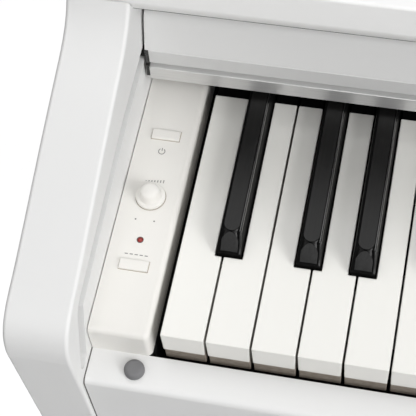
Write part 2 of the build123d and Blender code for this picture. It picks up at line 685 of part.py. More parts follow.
for x, side_name in ((-SPEAKER_X, "left"), (SPEAKER_X, "right")):
    with BuildPart() as speaker:
        with BuildSketch(Plane.XZ):
            with BuildLine():
                Polyline(
                    (0, 24), (12, 20), (46, 4), (48, 0), (SPEAKER_R, 0), (SPEAKER_R, 3),
                    (52, 3), (32, 32), (32, 50), (0, 50), (0, 24),
                )
            make_face()
        revolve(axis=Axis.Z)
    speaker.part.position = (x, y_at(SPEAKER_Y), z_at(BED_TOP))
    save(speaker, f"{side_name}_speaker")
    with BuildPart() as grille:
        upright(x, y_at(SPEAKER_Y), (z_at(BED_BOTTOM - 3), z_at(BED_BOTTOM)), SPEAKER_R + 2)
        for step in range(-5, 6):
            offset_y = step * GRILLE_PITCH
            half = ((SPEAKER_R - 8) ** 2 - offset_y**2) ** 0.5
            slot_y = (SPEAKER_Y + offset_y - GRILLE_SLOT / 2, SPEAKER_Y + offset_y + GRILLE_SLOT / 2)
            key_slab((x - half, x + half), slot_y, (BED_BOTTOM - 3, BED_BOTTOM), Mode.SUBTRACT)
        rim = grille.edges().filter_by(GeomType.CIRCLE).group_by(Axis.Z)[0].sort_by(SortBy.LENGTH)[-1]
        fillet(rim, radius=1.2)
    save(grille, f"{side_name}_speaker_grille")

HEADPHONE_X = -575.0
JACK_SPACING = 26.0
JACK_R = 3.25
with BuildPart() as headphone_box:
    key_slab((HEADPHONE_X - 30, HEADPHONE_X + 30), (2, 56), (BED_BOTTOM - 26, BED_BOTTOM))
    fillet(headphone_box.faces().sort_by(Axis.Y)[0].edges(), radius=2)
    for x in (HEADPHONE_X - JACK_SPACING / 2, HEADPHONE_X + JACK_SPACING / 2):
        lengthwise(x, (y_at(1), y_at(24)), z_at(BED_BOTTOM - 13), JACK_R, Mode.SUBTRACT)
save(headphone_box, "headphone_box")

with BuildPart() as power_inlet:
    lengthwise(INLET_X, (y_at(BED_REAR - 12), y_at(BACK - 2)), z_at(INLET_Z), 6.3)
    lengthwise(INLET_X, (y_at(BACK - 2), y_at(BACK - 0.6)), z_at(INLET_Z), 9)
    lengthwise(INLET_X, (y_at(BACK - 12), y_at(BACK)), z_at(INLET_Z), 2.8, Mode.SUBTRACT)
save(power_inlet, "power_inlet")

# ---------------------------------------------------------------- pedals
ROD_END = PEDAL_CAVITY_X + 4

with BuildPart() as pedal_box:
    slab(SPAN, [y_at(v) for v in PEDAL_BAR_Y], PEDAL_BAR_Z)
    fillet(pedal_box.edges().filter_by(Axis.X), radius=2.5)
    cavity_y = (y_at(PEDAL_BAR_Y[0] - 1), y_at(PEDAL_BAR_Y[1] - PEDAL_WALL))
    cavity_z = (PEDAL_BAR_Z[0] + PEDAL_WALL, PEDAL_BAR_Z[1] - PEDAL_WALL)
    slab((-PEDAL_CAVITY_X, PEDAL_CAVITY_X), cavity_y, cavity_z, Mode.SUBTRACT)
    pivot_yz = (y_at(PEDAL_PIVOT[0]), PEDAL_PIVOT[1])
    crosswise((-ROD_END, ROD_END), *pivot_yz, PEDAL_ROD_R + 0.02, Mode.SUBTRACT)
    upright(0, y_at(ADJUSTER_Y), (PEDAL_BAR_Z[0], cavity_z[0]), ADJUSTER_STUD_R + 0.05, Mode.SUBTRACT)
save(pedal_box, "pedal_box")

with BuildPart() as pedal_plate:
    slab((-118, 118), (y_at(PEDAL_BAR_Y[0] - 2), y_at(PEDAL_BAR_Y[0])), (59, 131))
    fillet(pedal_plate.edges().filter_by(Axis.Y), radius=5)
    for x in (-PEDAL_PITCH, 0, PEDAL_PITCH):
        slot_x = (x - PEDAL_NECK / 2 - 1.5, x + PEDAL_NECK / 2 + 1.5)
        slab(slot_x, (y_at(212), y_at(216)), (73, 89.5), Mode.SUBTRACT)
save(pedal_plate, "pedal_plate")

with BuildPart() as pedal_pivot_rod:
    crosswise((-ROD_END, ROD_END), *pivot_yz, PEDAL_ROD_R)
save(pedal_pivot_rod, "pedal_pivot_rod")

for x, pedal_name in ((-PEDAL_PITCH, "soft"), (0, "sostenuto"), (PEDAL_PITCH, "damper")):
    with BuildPart() as pedal:
        pad_middle = PEDAL_TIP + PEDAL_PAD / 2
        with BuildSketch(Plane.XY.offset(PEDAL_PIVOT[1] - PEDAL_THICK / 2)):
            with Locations((x, y_at(pad_middle))):
                SlotOverall(PEDAL_PAD, PEDAL_WIDTH, rotation=90)
            neck_length = PEDAL_PIVOT[0] - pad_middle
            with Locations((x, y_at(pad_middle + neck_length / 2))):
                Rectangle(PEDAL_NECK, neck_length)
        extrude(amount=PEDAL_THICK)
        fillet(pedal.faces().sort_by(Axis.Z)[-1].edges(), radius=2.5)
        crosswise((x - 12, x + 12), *pivot_yz, 7.5)
        crosswise((x - 13, x + 13), *pivot_yz, PEDAL_ROD_R + 0.05, Mode.SUBTRACT)
    save(pedal, f"{pedal_name}_pedal")

with BuildPart() as pedal_adjuster:
    upright(0, y_at(ADJUSTER_Y), (0, ADJUSTER_DISC[1]), ADJUSTER_DISC[0])
    fillet(pedal_adjuster.faces().sort_by(Axis.Z)[-1].edges(), radius=2)
    stud_z = (ADJUSTER_DISC[1], PEDAL_BAR_Z[0] + PEDAL_WALL - 0.5)
    upright(0, y_at(ADJUSTER_Y), stud_z, ADJUSTER_STUD_R)
save(pedal_adjuster, "pedal_adjuster")

# ---------------------------------------------------------------- music rest
REST_AXIS = (y_at(REST_Y), z_at(TOP_BOARD_RISE + REST_PIN_RISE))
lean = radians(REST_LEAN)
REST_PLANE = Plane(origin=(0, *REST_AXIS), x_dir=(1, 0, 0), z_dir=(0, -cos(lean), sin(lean)))

with BuildPart() as music_rest:
    with BuildSketch(REST_PLANE.offset(-REST_THICK / 2)):
        with Locations((0, REST_HEIGHT / 2 - 4)):
            RectangleRounded(REST_WIDTH, REST_HEIGHT, 1)
    extrude(amount=REST_THICK)
    with BuildSketch(REST_PLANE.offset(REST_THICK / 2 - 1)):
        with Locations((0, 2)):
            Rectangle(REST_WIDTH - 2, 10)
    extrude(amount=27)
    for x in (-REST_HINGE_X, REST_HINGE_X):
        with BuildSketch(REST_PLANE.offset(-REST_THICK)):
            with Locations((x, 0)):
                Rectangle(REST_KNUCKLE + 3, 10)
        extrude(amount=REST_THICK * 1.5 - 0.001, mode=Mode.SUBTRACT)
        bore_x = (x - REST_PIN / 2 - 2, x + REST_PIN / 2 + 2)
        crosswise(bore_x, *REST_AXIS, REST_PIN_R + 0.05, Mode.SUBTRACT)
save(music_rest, "music_rest")

with BuildPart() as music_rest_hinges:
    board_top = z_at(TOP_BOARD_RISE)
    for x in (-REST_HINGE_X, REST_HINGE_X):
        knuckle_x = (x - REST_KNUCKLE / 2, x + REST_KNUCKLE / 2)
        crosswise(knuckle_x, *REST_AXIS, 3.7)
        crosswise((x - REST_PIN / 2, x + REST_PIN / 2), *REST_AXIS, REST_PIN_R)
        slab(knuckle_x, (REST_AXIS[0] - 2.5, REST_AXIS[0] + 2.5), (board_top, REST_AXIS[1]))
        slab(knuckle_x, (REST_AXIS[0] - 11, REST_AXIS[0] + 11), (board_top, board_top + 2))
save(music_rest_hinges, "music_rest_hinges")
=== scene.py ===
"""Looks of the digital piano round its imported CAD: key shapes, markings, materials, light, camera."""

import json
import math

import bmesh
import bpy
from mathutils import Matrix, Vector


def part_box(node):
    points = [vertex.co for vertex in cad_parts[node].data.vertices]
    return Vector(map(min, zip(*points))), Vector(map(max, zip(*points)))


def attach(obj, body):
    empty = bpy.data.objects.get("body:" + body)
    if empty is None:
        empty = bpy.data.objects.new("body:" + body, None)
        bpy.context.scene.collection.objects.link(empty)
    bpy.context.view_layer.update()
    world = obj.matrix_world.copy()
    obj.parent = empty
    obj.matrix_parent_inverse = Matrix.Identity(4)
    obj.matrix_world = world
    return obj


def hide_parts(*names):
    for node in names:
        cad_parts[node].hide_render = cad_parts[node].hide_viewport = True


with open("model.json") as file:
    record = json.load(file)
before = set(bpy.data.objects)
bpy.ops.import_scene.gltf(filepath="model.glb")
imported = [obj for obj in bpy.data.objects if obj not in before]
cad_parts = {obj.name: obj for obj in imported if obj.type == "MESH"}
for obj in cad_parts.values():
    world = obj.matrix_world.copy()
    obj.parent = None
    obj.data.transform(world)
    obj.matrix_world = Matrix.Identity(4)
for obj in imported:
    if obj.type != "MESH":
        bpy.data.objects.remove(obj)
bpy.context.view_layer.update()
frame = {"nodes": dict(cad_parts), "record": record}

MM = 0.001

# ------------------------------------------------------------------ keyboard layout, in mm from the datum
KEY_PITCH = 23.5
WHITE_COUNT = 52
KEY_GAP = 0.9
WHITE_LENGTH = 148.8
BLACK_FRONT = 50.3
BLACK_BASE = 13.1
BLACK_END = 156.0
BLACK_CLEARANCE = 0.8
# how far right of the joint between two white keys the black key's middle lies, by the lower white note
BLACK_SHIFT = {"A": 3.1, "C": -2.3, "D": 2.5, "F": -3.1, "G": 0.0}
SINGLE_WHITES = {0: "a0", 1: "b0", 2: "c1", 3: "d1", 4: "e1", 5: "f1"}
SINGLE_BLACKS = {0: "a_sharp_0", 2: "c_sharp_1", 3: "d_sharp_1"}

# the datum is the lowest key's front top left corner, moved out by half a gap
a0_low, a0_high = (Vector(corner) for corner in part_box("white_key_a0"))
DATUM = Vector((a0_low.x - KEY_GAP / 2 * MM, a0_low.y, a0_high.z))


def at(x, y, z):
    """Point in metres, from millimetres right of, behind and above the datum."""
    return DATUM + Vector((x, y, z)) * MM


# ------------------------------------------------------------------ camera and light
CAMERA_AZIMUTH = 17.406
CAMERA_ELEVATION = 60.0
CAMERA_ROLL = -7.157
CAMERA_DISTANCE = 739.6
CAMERA_LENS = 120.37
CAMERA_TARGET = at(10.3, 76.8, 0)
CAMERA_NEAR = 0.05
CAMERA_FAR = 50


def add_camera():
    """Camera at the photographed viewing angle: azimuth, elevation and roll about its own axis."""
    azimuth, elevation = math.radians(CAMERA_AZIMUTH), math.radians(CAMERA_ELEVATION)
    back = Vector(
        (
            math.sin(azimuth) * math.cos(elevation),
            -math.cos(azimuth) * math.cos(elevation),
            math.sin(elevation),
        )
    )
    right = (-back).cross(Vector((0, 0, 1))).normalized()
    up = right.cross(-back)
    turn = Matrix.Rotation(math.radians(CAMERA_ROLL), 3, back)
    axes = Matrix((turn @ right, turn @ up, back)).transposed().to_4x4()
    data = bpy.data.cameras.new("camera")
    data.lens = CAMERA_LENS
    data.clip_start = CAMERA_NEAR
    data.clip_end = CAMERA_FAR
    camera = bpy.data.objects.new("camera", data)
    camera.matrix_world = Matrix.Translation(CAMERA_TARGET + back * CAMERA_DISTANCE * MM) @ axes
    bpy.context.scene.collection.objects.link(camera)
    bpy.context.scene.camera = camera


# places and sizes in metres, angles in degrees, powers in watts
WORLD_STRENGTH = 0.14
LIGHT_TARGET = Vector((-0.3, -0.1, 0.735))
LIGHT_DISTANCE = 4.4
LIGHT_SIZE = 2.4
# each light's name, azimuth, elevation and power
LIGHTS = (
    ("right_front_light", 60, 30, 144),
    ("front_light", 0, 52, 51),
    ("overhead_light", 0, 88, 14),
    ("rear_light", 192, 62, 42),
    ("left_rear_light", 240, 60, 12),
    ("right_rear_light", 118, 40, 9),
    ("left_front_light", 300, 30, 11),
)


def add_area_light(name, azimuth, elevation, power):
    """Soft square light at an azimuth and elevation round the keyboard, unseen by the camera."""
    across, up = math.radians(azimuth), math.radians(elevation)
    towards = Vector((math.sin(across) * math.cos(up), -math.cos(across) * math.cos(up), math.sin(up)))
    data = bpy.data.lights.new(name, "AREA")
    data.shape = "SQUARE"
    data.size = LIGHT_SIZE
    data.energy = power
    light = bpy.data.objects.new(name, data)
    light.location = LIGHT_TARGET + towards * LIGHT_DISTANCE
    light.rotation_euler = (-towards).to_track_quat("-Z", "Y").to_euler()
    light.visible_camera = False
    bpy.context.scene.collection.objects.link(light)


def add_world(strength):
    """Even white surroundings of a given strength."""
    world = bpy.data.worlds.new("studio")
    world.use_nodes = True
    background = world.node_tree.nodes["Background"]
    background.inputs["Color"].default_value = (1.0, 1.0, 1.0, 1.0)
    background.inputs["Strength"].default_value = strength
    bpy.context.scene.world = world


# ------------------------------------------------------------------ materials
CLOUD = 0.985
RAMP_ENDS = (0.3, 0.7)


class Recipe:
    """A material under construction: its shader and short ways to add texture nodes."""

    def __init__(self, name, **shader):
        self.material = bpy.data.materials.new(name)
        self.material.use_nodes = True
        self.tree = self.material.node_tree
        self.shader = self.tree.nodes["Principled BSDF"]
        self.height = None
        self.place = self.add("ShaderNodeTexCoord").outputs["Object"]
        for socket, value in shader.items():
            self.shader.inputs[socket.replace("_", " ")].default_value = value

    def add(self, kind):
        return self.tree.nodes.new(kind)

    def link(self, output, socket):
        self.tree.links.new(output, socket)

    def noise(self, scale, detail=3.0, stretch=(1, 1, 1)):
        """Noise output over the object's own place, drawn out along an axis by stretch."""
        mapping = self.add("ShaderNodeMapping")
        mapping.inputs["Scale"].default_value = stretch
        self.link(self.place, mapping.inputs["Vector"])
        node = self.add("ShaderNodeTexNoise")
        node.inputs["Scale"].default_value = scale
        node.inputs["Detail"].default_value = detail
        self.link(mapping.outputs["Vector"], node.inputs["Vector"])
        return node.outputs["Fac"]

    def colour(self, value, dark, light):
        """Base colour that goes from dark to light as a value rises."""
        node = self.add("ShaderNodeValToRGB")
        for element, position, colour in zip(node.color_ramp.elements, RAMP_ENDS, (dark, light)):
            element.position = position
            element.color = (*colour, 1.0)
        self.link(value, node.inputs["Fac"])
        self.link(node.outputs["Color"], self.shader.inputs["Base Color"])

    def roughness(self, value, low, high):
        """Roughness that goes from low to high as a value rises."""
        node = self.add("ShaderNodeMapRange")
        node.inputs["To Min"].default_value = low
        node.inputs["To Max"].default_value = high
        self.link(value, node.inputs["Value"])
        self.link(node.outputs["Result"], self.shader.inputs["Roughness"])

    def bump(self, value, strength, distance):
        """Bump on top of any bump so far; distance in millimetres."""
        node = self.add("ShaderNodeBump")
        node.inputs["Strength"].default_value = strength
        node.inputs["Distance"].default_value = distance * MM
        self.link(value, node.inputs["Height"])
        if self.height is not None:
            self.link(self.height, node.inputs["Normal"])
        self.height = node.outputs["Normal"]
        self.link(self.height, self.shader.inputs["Normal"])


def shade(colour, factor):
    """Colour made darker or lighter by a factor."""
    return tuple(channel * factor for channel in colour)


def painted(name, colour, rough=0.5, tint=CLOUD, shine=0.3):
    """Sprayed satin paint: faint cloudiness, fine orange peel, uneven gloss."""
    recipe = Recipe(name, Specular_IOR_Level=shine)
    recipe.colour(recipe.noise(7, 4), shade(colour, tint), colour)
    recipe.roughness(recipe.noise(30, 3), rough - 0.05, rough + 0.06)
    recipe.bump(recipe.noise(900, 2), 0.10, 0.05)
    recipe.bump(recipe.noise(60, 2), 0.05, 0.12)
    return recipe.material


def moulded(name, colour, rough, grain=2200, depth=0.16):
    """Moulded plastic with a fine spark-eroded texture."""
    recipe = Recipe(name, Specular_IOR_Level=0.4)
    recipe.colour(recipe.noise(14, 4), shade(colour, CLOUD), colour)
    recipe.roughness(recipe.noise(90, 3), rough - 0.06, rough + 0.06)
    recipe.bump(recipe.noise(grain, 3), depth, 0.04)
    return recipe.material


def smooth_plastic(name, colour, rough, shine):
    """Polished plastic such as a key top: nearly even, with slow ripples and fine handling marks."""
    recipe = Recipe(name, Specular_IOR_Level=shine)
    recipe.colour(recipe.noise(9, 3), shade(colour, CLOUD), colour)
    marks = recipe.noise(160, 4, stretch=(3, 0.4, 1))
    recipe.roughness(marks, rough - 0.05, rough + 0.09)
    recipe.bump(recipe.noise(45, 2), 0.05, 0.10)
    recipe.bump(recipe.noise(1500, 2), 0.03, 0.02)
    return recipe.material


def key_black(name, colour, rough, shine):
    """Satin black of a raised key, with a faint grain drawn out along the key."""
    recipe = Recipe(name, Specular_IOR_Level=shine)
    grain = recipe.noise(900, 4, stretch=(1, 0.06, 1))
    recipe.colour(grain, shade(colour, 0.7), shade(colour, 1.25))
    recipe.roughness(grain, rough - 0.05, rough + 0.08)
    recipe.bump(grain, 0.10, 0.03)
    return recipe.material


def metal(name, colour, rough, brush=(1, 40, 40), metallic=1.0):
    """Brushed or drawn metal, its lines running along the axis with the smallest stretch."""
    recipe = Recipe(name, Metallic=metallic)
    lines = recipe.noise(60, 5, stretch=brush)
    recipe.colour(lines, shade(colour, 0.88), colour)
    recipe.roughness(lines, rough - 0.06, rough + 0.10)
    recipe.bump(lines, 0.08, 0.03)
    return recipe.material


def felt_material(name, colour):
    """Matt felt with a fibrous surface."""
    recipe = Recipe(name, Roughness=0.95, Specular_IOR_Level=0.1, Sheen_Weight=0.5)
    fibres = recipe.noise(1400, 6)
    recipe.colour(fibres, shade(colour, 0.6), shade(colour, 1.4))
    recipe.bump(fibres, 0.7, 0.4)
    return recipe.material


def circuit_material(name):
    """Green solder mask with paler copper runs under it."""
    recipe = Recipe(name, Roughness=0.3)
    node = recipe.add("ShaderNodeTexBrick")
    node.inputs["Scale"].default_value = 60
    node.inputs["Mortar Size"].default_value = 0.035
    node.inputs["Color1"].default_value = (0.008, 0.075, 0.03, 1)
    node.inputs["Color2"].default_value = (0.012, 0.095, 0.04, 1)
    node.inputs["Mortar"].default_value = (0.05, 0.20, 0.08, 1)
    recipe.link(recipe.place, node.inputs["Vector"])
    recipe.link(node.outputs["Color"], recipe.shader.inputs["Base Color"])
    recipe.bump(node.outputs["Fac"], 0.3, 0.05)
    return recipe.material


def key_body_material():
    """Brown core of a white key under its cap, with a wood-like grain along the key."""
    recipe = Recipe("key_body_brown", Roughness=0.6, Specular_IOR_Level=0.3)
    grain = recipe.noise(300, 5, stretch=(1, 0.15, 2.5))
    recipe.colour(grain, (0.25, 0.215, 0.18), (0.36, 0.32, 0.275))
    recipe.bump(grain, 0.2, 0.1)
    return recipe.material


def lamp_material():
    """Red diffused lamp lens, lit from inside."""
    recipe = Recipe("lamp_red", Roughness=0.22, Emission_Strength=0.10, Coat_Weight=0.5)
    recipe.shader.inputs["Emission Color"].default_value = (0.75, 0.02, 0.01, 1)
    recipe.colour(recipe.noise(900, 3), (0.16, 0.008, 0.006), (0.26, 0.013, 0.009))
    recipe.bump(recipe.noise(700, 2), 0.1, 0.03)
    return recipe.material


def floor_material(name, colour, glow):
    """Matt studio floor that gives off a glow of its own."""
    recipe = Recipe(name, Roughness=0.9, Specular_IOR_Level=0.1, Emission_Strength=glow)
    recipe.shader.inputs["Emission Color"].default_value = (1, 1, 1, 1)
    recipe.colour(recipe.noise(2, 3), shade(colour, 0.98), colour)
    return recipe.material


CABINET_WHITE = (0.80, 0.80, 0.795)
# the cabinet's white made lighter for the top board and top rail: painted light, where light falls brighter
# on them
TOP_LIT_WHITE = (0.96, 0.96, 0.955)
COVER_WHITE = (0.72, 0.72, 0.715)
LIP_WHITE = (0.66, 0.66, 0.655)
PANEL_WHITE = (0.815, 0.80, 0.765)
KEY_WHITE = (0.82, 0.812, 0.775)

MATERIALS = {
    "cabinet": painted("cabinet_paint", CABINET_WHITE),
    "cover_board": painted("cover_paint", COVER_WHITE, rough=0.42),
    "cover_lip": painted("lip_paint", LIP_WHITE, rough=0.42),
    "steel": metal("drawn_steel", (0.56, 0.56, 0.57), 0.32),
    "rubber": moulded("grey_rubber", (0.185, 0.185, 0.19), rough=0.75, grain=1500, depth=0.3),
    "glide": moulded("glide_black", (0.02, 0.02, 0.021), rough=0.5),
    "panel": moulded("panel_cream", PANEL_WHITE, rough=0.42),
    "lamp": lamp_material(),
    "board": circuit_material("solder_mask"),
    "speaker": moulded("speaker_black", (0.02, 0.02, 0.02), rough=0.6, grain=700, depth=0.4),
    "grille": moulded("grille_black", (0.018, 0.018, 0.018), rough=0.5),
    "felt": felt_material("black_felt", (0.010, 0.010, 0.010)),
    "chassis": moulded("chassis_black", (0.015, 0.015, 0.015), rough=0.6),
    "pedal_brass": metal("polished_brass", (0.80, 0.58, 0.26), 0.14, brush=(40, 1, 40)),
    "white_keys": smooth_plastic("key_top_white", KEY_WHITE, 0.16, 0.45),
    "black_keys": key_black("key_top_black", (0.006, 0.0058, 0.0057), 0.34, 0.25),
}
KEY_BODY = key_body_material()
# painted light: the lighter white on the top board, the top rail and the rail trim
TOP_LIT_PAINT = painted("top_board_paint_painted_light", TOP_LIT_WHITE)
PIN_STEEL = metal("blackened_steel", (0.03, 0.03, 0.03), 0.5)
OWN_MATERIALS = {"top_board": TOP_LIT_PAINT, "top_rail": TOP_LIT_PAINT, "key_cover_pins": PIN_STEEL}
LIP_STRIP = metal("satin_strip", (0.74, 0.74, 0.735), 0.30, brush=(1, 60, 60), metallic=0.62)
# copies of the key black for how light falls: painted shade on the sides, the left shoulder and the white
# keys' tails, painted light on the sloping front, and a glossy painted highlight along the right shoulder,
# softer along its front
BLACK_SHADED = key_black("key_side_black_painted_shade", (0.004, 0.004, 0.004), 0.5, 0.04)
BLACK_LIT_SLOPE = key_black("key_slope_black_painted_light", (0.018, 0.018, 0.018), 0.40, 0.6)
BLACK_LIT_FRONT_SHOULDER = key_black("key_front_shoulder_black_painted_light", (0.006, 0.006, 0.006), 0.35, 0.4)
BLACK_LIT_SHOULDER = key_black("key_shoulder_black_painted_highlight", (0.006, 0.006, 0.006), 0.22, 1.0)
PRINT = painted("print_grey", (0.22, 0.215, 0.21), rough=0.6, tint=0.9)
# dark brown printed round the knob and the buttons: painted shade of the gaps round them
GAP_SHADE_BROWN = painted("gap_brown_painted_shade", (0.42, 0.355, 0.285), rough=0.8, tint=0.85, shine=0.1)
# dark grey strips in the keyslip's end joints: painted shade of the narrow gaps
SEAM_SHADE_GREY = painted("seam_grey_painted_shade", (0.15, 0.145, 0.14), rough=0.7, tint=0.85, shine=0.1)
LAMP_RIM = moulded("lamp_rim_dark", (0.09, 0.03, 0.025), rough=0.5)


def dress_frame():
    """Give every CAD node its own material, or else that of its slot in the record."""
    for entry in frame["record"]["subparts"]:
        piece = frame["nodes"][entry["node"]]
        for slot in piece.material_slots:
            slot.material = OWN_MATERIALS.get(entry["node"], MATERIALS[entry["material_slot"]])


# ------------------------------------------------------------------ mesh helpers
def ring_points(centre, radius, start, end, steps):
    """Points along a circle between two angles in degrees."""
    points = []
    for k in range(steps + 1):
        turn = math.radians(start + (end - start) * k / steps)
        points.append((centre[0] + radius * math.cos(turn), centre[1] + radius * math.sin(turn)))
    return points


BEVEL_SEGMENTS = 3
BEVEL_ANGLE = math.radians(32)
SHARP_ANGLE = math.radians(35)


def piece_from(mesh_builder, name, body, materials, replaced=(), bevel=None):
    """Turn a bmesh into a piece that rides on a body, with an optional rounding of its edges in mm."""
    mesh = bpy.data.meshes.new(name)
    bmesh.ops.recalc_face_normals(mesh_builder, faces=mesh_builder.faces)
    mesh_builder.to_mesh(mesh)
    mesh_builder.free()
    for material in materials:
        mesh.materials.append(material)
    piece = bpy.data.objects.new(name, mesh)
    bpy.context.scene.collection.objects.link(piece)
    if bevel:
        rounding = piece.modifiers.new("rounding", "BEVEL")
        rounding.width = bevel * MM
        rounding.segments = BEVEL_SEGMENTS
        rounding.limit_method = "ANGLE"
        rounding.angle_limit = BEVEL_ANGLE
        rounding.harden_normals = True
    mesh.shade_smooth()
    if not bevel:
        mesh.set_sharp_from_angle(angle=SHARP_ANGLE)
    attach(piece, body)
    if replaced:
        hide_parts(*replaced)
    return piece


def rectangle(left, right, front, rear):
    """Plan outline of a rectangle."""
    return [(left, front), (right, front), (right, rear), (left, rear)]


def add_prism(mesh_builder, outline, low, high, shrink, material):
    """Upright prism on a plan outline; shrink draws the lower outline in towards its middle in X."""
    middle = (min(p[0] for p in outline) + max(p[0] for p in outline)) / 2
    top = [mesh_builder.verts.new(at(x, y, high)) for x, y in outline]
    bottom = []
    for x, y in outline:
        drawn = x - shrink if x > middle else x + shrink
        bottom.append(mesh_builder.verts.new(at(drawn, y, low)))
    faces = [mesh_builder.faces.new(top), mesh_builder.faces.new(bottom[::-1])]
    for i in range(len(outline)):
        j = (i + 1) % len(outline)
        faces.append(mesh_builder.faces.new((top[j], top[i], bottom[i], bottom[j])))
    for face in faces:
        face.material_index = material


def add_ring(mesh_builder, centre, radius, height, steps):
    """Vertices round a vertical axis, counted anticlockwise from the right."""
    ring = []
    for k in range(steps):
        turn = 2 * math.pi * k / steps
        x = centre[0] + radius * math.cos(turn)
        y = centre[1] + radius * math.sin(turn)
        ring.append(mesh_builder.verts.new(at(x, y, height)))
    return ring


def add_lathe(mesh_builder, centre, profile, steps):
    """Solid of revolution about a vertical axis; profile runs from the top middle down, in mm."""
    rings = []
    for radius, height in profile:
        if radius == 0:
            rings.append([mesh_builder.verts.new(at(centre[0], centre[1], height))])
        else:
            rings.append(add_ring(mesh_builder, centre, radius, height, steps))
    for upper, lower in zip(rings, rings[1:]):
        for k in range(steps):
            n = (k + 1) % steps
            near = (upper[k % len(upper)], lower[k % len(lower)])
            far = (lower[n % len(lower)], upper[n % len(upper)])
            mesh_builder.faces.new(list(dict.fromkeys(near + far)))


def add_collar(mesh_builder, centre, profile, steps):
    """Closed ring about a vertical axis with a closed profile of (radius, height)."""
    rings = [add_ring(mesh_builder, centre, radius, height, steps) for radius, height in profile]
    for i in range(len(rings)):
        j = (i + 1) % len(rings)
        for k in range(steps):
            n = (k + 1) % steps
            mesh_builder.faces.new((rings[i][k], rings[i][n], rings[j][n], rings[j][k]))


# ------------------------------------------------------------------ keys
def black_after(index):
    """Middle of the black key after a white key, in mm from the lowest key's left edge, or None."""
    shift = BLACK_SHIFT.get("ABCDEFG"[index % 7])
    if shift is None or not 0 <= index < WHITE_COUNT - 1:
        return None
    return (index + 1) * KEY_PITCH + shift


CAP_SLOT, BODY_SLOT, TAIL_SLOT = range(3)
KEY_BEVEL = 0.55
# the visible caps stand a little further apart than the CAD's keys, whose gap is KEY_GAP
CAP_GAP = 1.1
CAP_HEIGHT = 17.0
CAP_DRAFT = 0.28
CAP_SEAT = 0.02
BODY_BOTTOM = -23.0
BODY_REAR = 212.0
BODY_SET_BACK = 1.5
BODY_INSET = 0.35
BODY_NOTCH_LEAD = 1.0
SKIRT_BOTTOM = -29.5
SKIRT_REAR = 10.0
TAIL_TOP = -3.0
TAIL_LEAD = 2.0


def add_white_key(mesh_builder, index):
    """White key: drafted cap cut back beside the black keys, over a brown body and a black tail, its black
    the darker shaded copy as painted shade under the key cover.
    """
    left = index * KEY_PITCH + CAP_GAP / 2
    right = (index + 1) * KEY_PITCH - CAP_GAP / 2
    room = BLACK_BASE / 2 + BLACK_CLEARANCE
    before, after = black_after(index - 1), black_after(index)
    rear_left = left if before is None else before + room
    rear_right = right if after is None else after - room
    notch = BLACK_FRONT - BLACK_CLEARANCE
    outline = [(left, 0), (right, 0)]
    if after is not None:
        outline += [(right, notch), (rear_right, notch)]
    outline += [(rear_right, WHITE_LENGTH), (rear_left, WHITE_LENGTH)]
    if before is not None:
        outline += [(rear_left, notch), (left, notch)]
    add_prism(mesh_builder, outline, -CAP_HEIGHT, 0, CAP_DRAFT, CAP_SLOT)
    low_left, low_right = left + BODY_INSET, right - BODY_INSET
    tail_left, tail_right = rear_left + BODY_INSET, rear_right - BODY_INSET
    body_top = -CAP_HEIGHT - CAP_SEAT
    narrowing, tail_front = notch - BODY_NOTCH_LEAD, WHITE_LENGTH - TAIL_LEAD
    skirt = rectangle(low_left, low_right, BODY_SET_BACK, SKIRT_REAR)
    add_prism(mesh_builder, skirt, SKIRT_BOTTOM, body_top, 0, BODY_SLOT)
    front_body = rectangle(low_left, low_right, SKIRT_REAR, narrowing)
    add_prism(mesh_builder, front_body, BODY_BOTTOM, body_top, 0, BODY_SLOT)
    rear_body = rectangle(tail_left, tail_right, narrowing, tail_front)
    add_prism(mesh_builder, rear_body, BODY_BOTTOM, body_top, 0, BODY_SLOT)
    # the tail's black is the darker shaded copy: painted shade under the key cover
    tail = rectangle(tail_left, tail_right, tail_front, BODY_REAR)
    add_prism(mesh_builder, tail, BODY_BOTTOM, TAIL_TOP, 0, TAIL_SLOT)


# slots for the key black and its copies: painted shade, painted light on the slope, painted highlight on
# the right shoulder
TOP_SLOT, SHADED_SLOT, LIT_SLOPE_SLOT, LIT_SHOULDER_SLOT, LIT_FRONT_SHOULDER_SLOT = range(5)
BLACK_HEIGHT = 12.0
BLACK_BOTTOM = -20.0
FLAT_HALF = 4.15
FLAT_TIP = 8.9
FLAT_ROUND = 4.3
# the line is the narrow gap round the flat top, between it and the shoulders
LINE = 0.45
LINE_DEPTH = 0.7
LINE_LAP = 0.05
PLATE_DROP = LINE_DEPTH + 0.2
FACET_DROP = LINE_DEPTH + 0.1
# a shoulder's rounding, as distance outwards and drop
SHOULDER = ((0.0, 0.04), (0.26, 0.0), (0.54, 0.12), (0.78, 0.42), (0.94, 0.95), (1.02, 1.80))
SHOULDER_DROP = 0.1
ARCH_TIP = 8.1
ARCH_DEPTH = 3.1
SLOPE_HALF = 4.45
SLOPE_FOOT = 0.9
FACE_RISE = 3.4
FOOT_RISE = 0.4
FOOT_SINK = 0.15
SLOPE_TOP = 11.35
SLOPE_CROWN = 0.3
SLOPE_SHARES = (0.0, 0.12, 0.5, 0.9, 1.0)
SLOPE_STATIONS = (2.4, 4.0, 5.6, 6.8)
TOP_STATIONS = (ARCH_TIP + 0.9, 16.0, 50.0)
KEY_STEPS = 18
FACET_STEPS = 6
FACET_MARGIN = 0.3
FACET_INNER = 0.16
FACET_REACH = 0.15
FACET_OFFSET = 0.12


def slope_height(y):
    """Height of the black key's sloping front at a depth behind its foot."""
    return FACE_RISE + (y - SLOPE_FOOT) * (SLOPE_TOP - FACE_RISE) / (ARCH_TIP - SLOPE_FOOT)


def flat_end(u):
    """Depth of the round front end of the black key's flat top, across the key from -1 to 1."""
    return FLAT_TIP + FLAT_ROUND * (1 - math.sqrt(max(0.0, 1 - u * u)))


def arch(u):
    """Depth of the arched top end of the black key's sloping front."""
    return ARCH_TIP - ARCH_DEPTH * u * u


